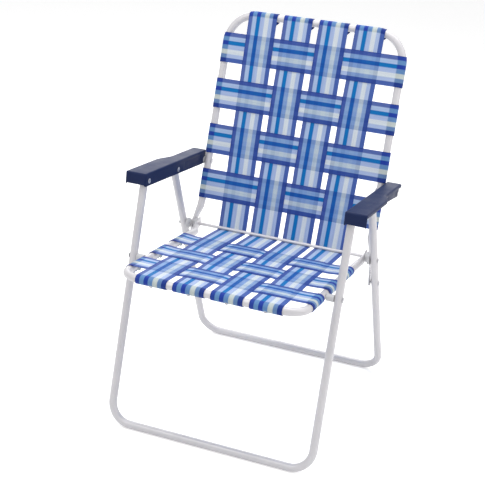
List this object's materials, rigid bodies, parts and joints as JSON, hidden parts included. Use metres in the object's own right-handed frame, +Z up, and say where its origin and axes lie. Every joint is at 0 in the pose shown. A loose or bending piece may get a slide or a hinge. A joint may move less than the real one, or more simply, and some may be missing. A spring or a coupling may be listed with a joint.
{
  "type": "folding webbed lawn chair",
  "caption": "Folding lawn chair: bent tube frames with woven plastic webbing for seat and back, moulded armrests and a riveted folding linkage.",
  "frame": {"origin": "middle of the overall box at floor level", "axes": "+Z up from the floor, -Y towards the front of the seat, +X to the right of somebody who stands in front of the chair"},
  "size_m": [0.593, 0.6512, 0.9106],
  "materials": {
    "tube_paint": "smooth light grey-white powder coat",
    "zinc": "plain zinc plated",
    "armrest_plastic": "fine-grained dark blue",
    "spacer_plastic": "plain pale grey",
    "webbing": "woven plastic webbing, striped in blues with a pale green stripe"
  },
  "bodies": {
    "seat": {"seat_frame": "tube_paint", "cross_rod": "tube_paint", "seat_web_long_1": "webbing", "seat_web_long_2": "webbing", "seat_web_long_3": "webbing", "seat_web_long_4": "webbing", "seat_web_cross_1": "webbing", "seat_web_cross_2": "webbing", "seat_web_cross_3": "webbing", "seat_rivet_left": "zinc", "seat_rivet_right": "zinc", "seat_spacer_left": "spacer_plastic", "seat_spacer_right": "spacer_plastic", "rod_spacer_left": "spacer_plastic", "rod_spacer_right": "spacer_plastic"},
    "back": {"back_frame": "tube_paint", "back_web_long_1": "webbing", "back_web_long_2": "webbing", "back_web_long_3": "webbing", "back_web_long_4": "webbing", "back_web_cross_1": "webbing", "back_web_cross_2": "webbing", "back_web_cross_3": "webbing", "back_web_cross_4": "webbing", "arm_rivet_rear_left": "zinc", "arm_rivet_rear_right": "zinc", "arm_washer_left": "spacer_plastic", "arm_washer_right": "spacer_plastic"},
    "front_legs": {"front_leg_frame": "tube_paint", "leg_rivet_top_left": "zinc", "leg_rivet_top_right": "zinc"},
    "rear_legs": {"rear_leg_frame": "tube_paint", "leg_rivet_link_left": "zinc", "leg_rivet_link_right": "zinc", "stop_bush_left": "spacer_plastic", "stop_bush_right": "spacer_plastic", "stop_rivet_left": "zinc", "stop_rivet_right": "zinc"},
    "arm_left": {"armrest_left": "armrest_plastic", "arm_rivet_front_left": "zinc", "arm_rivet_middle_left": "zinc"},
    "link_left": {"link_plate_left": "zinc", "link_rivet_left": "zinc"},
    "arm_right": {"armrest_right": "armrest_plastic", "arm_rivet_front_right": "zinc", "arm_rivet_middle_right": "zinc"},
    "link_right": {"link_plate_right": "zinc", "link_rivet_right": "zinc"}
  },
  "joints": [
    {"name": "back_fold", "type": "hinge", "parent": "seat", "child": "back", "pos_m": [0, 0.13606, 0.37995], "axis": [1, 0, 0], "range_deg": [0, 98]},
    {"name": "front_leg_fold", "type": "hinge", "parent": "seat", "child": "front_legs", "pos_m": [0, -0.17344, 0.39975], "axis": [1, 0, 0], "range_deg": [0, 89.25]},
    {"name": "armrest_left_fold", "type": "hinge", "parent": "back", "child": "arm_left", "pos_m": [-0.262, 0.19936, 0.53352], "axis": [1, 0, 0], "range_deg": [-96.18, 0]},
    {"name": "armrest_right_fold", "type": "hinge", "parent": "back", "child": "arm_right", "pos_m": [0.262, 0.19936, 0.53352], "axis": [1, 0, 0], "range_deg": [-96.18, 0]},
    {"name": "rear_leg_fold", "type": "hinge", "parent": "arm_left", "child": "rear_legs", "pos_m": [0, 0.03999, 0.55414], "axis": [1, 0, 0], "range_deg": [0, 50.5]},
    {"name": "link_left_fold", "type": "hinge", "parent": "seat", "child": "link_left", "pos_m": [-0.2427, 0.13606, 0.37995], "axis": [1, 0, 0], "range_deg": [-87.97, 0]},
    {"name": "link_right_fold", "type": "hinge", "parent": "seat", "child": "link_right", "pos_m": [0.2427, 0.13606, 0.37995], "axis": [1, 0, 0], "range_deg": [-87.97, 0]}
  ],
  "couplings": [
    {"joint": "front_leg_fold", "follows": "back_fold", "ratio": 0.91068},
    {"joint": "armrest_left_fold", "follows": "back_fold", "ratio": -0.98135},
    {"joint": "armrest_right_fold", "follows": "back_fold", "ratio": -0.98135},
    {"joint": "rear_leg_fold", "follows": "back_fold", "ratio": 0.51524},
    {"joint": "link_left_fold", "follows": "back_fold", "ratio": -0.89764},
    {"joint": "link_right_fold", "follows": "back_fold", "ratio": -0.89764}
  ]
}
